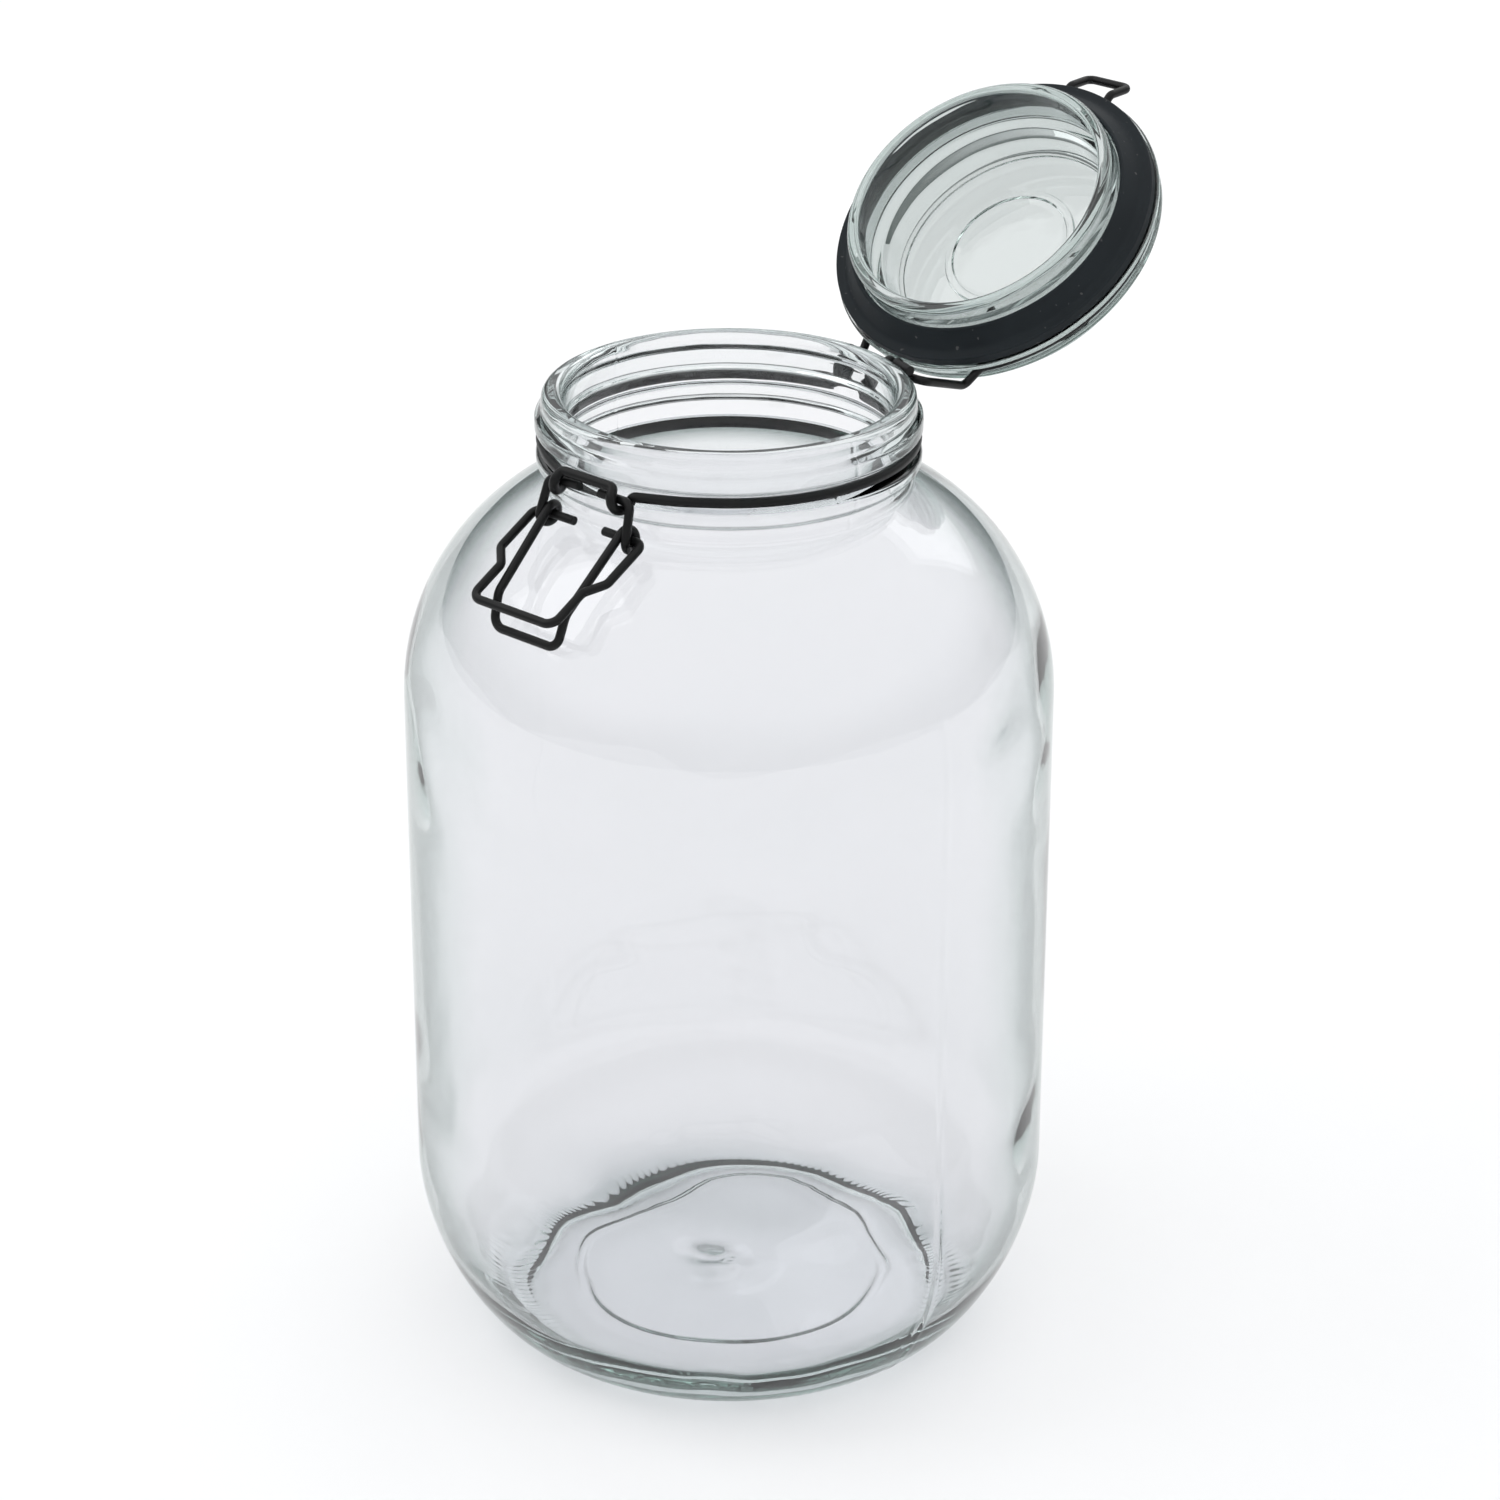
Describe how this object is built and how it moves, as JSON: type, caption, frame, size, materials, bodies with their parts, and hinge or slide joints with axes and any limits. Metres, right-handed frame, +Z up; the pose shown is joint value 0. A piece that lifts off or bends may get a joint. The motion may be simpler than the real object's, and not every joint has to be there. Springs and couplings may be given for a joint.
{
  "type": "bail clamp jar",
  "caption": "Clear glass clip-top storage jar with a hinged glass lid, black rubber sealing ring and black wire bail clamp; lid swings, lever throws the bail over the catch",
  "frame": {"origin": "on the surface that the jar stands on, on the jar's axis", "axes": "+Z up along the jar's axis, +Y towards the lid's hinge, -Y towards the clamp, +X to the right seen from the clamp side"},
  "size_m": [0.176, 0.2497, 0.3257],
  "materials": {
    "jar_glass": "clear soda-lime glass, faint grey-green at thick edges",
    "lid_glass": "clear pressed soda-lime glass, faint green at the rims",
    "seal_rubber": "matt black moulded rubber",
    "black_wire": "matt black coated steel wire"
  },
  "bodies": {
    "jar": {"jar_body": "jar_glass"},
    "neck_clip": {"neck_wire": "black_wire"},
    "lid": {"lid_glass": "lid_glass", "lid_hoop": "black_wire"},
    "seal": {"gasket": "seal_rubber"},
    "lever_arm": {"lever": "black_wire"},
    "bail_loop": {"bail": "black_wire"}
  },
  "joints": [
    {"name": "neck_turn", "type": "hinge", "parent": "jar", "child": "neck_clip", "pos_m": [0, 0, 0.2596], "axis": [0, 0, 1], "range_deg": [-180, 180]},
    {"name": "lid_hinge", "type": "hinge", "parent": "neck_clip", "child": "lid", "pos_m": [0, 0.0579, 0.2633], "axis": [1, 0, 0], "range_deg": [0, 140.6]},
    {"name": "lever_pivot", "type": "hinge", "parent": "neck_clip", "child": "lever_arm", "pos_m": [0, -0.0532, 0.2594], "axis": [1, 0, 0], "range_deg": [-110, 0]},
    {"name": "bail_pivot", "type": "hinge", "parent": "lever_arm", "child": "bail_loop", "pos_m": [0, -0.0536, 0.2495], "axis": [-1, 0, 0], "range_deg": [0, 123.6]},
    {"name": "seal_pull", "type": "slide", "parent": "lid", "child": "seal", "axis": [0, 0.6347, -0.7727], "range_m": [-0.02, 0]}
  ]
}
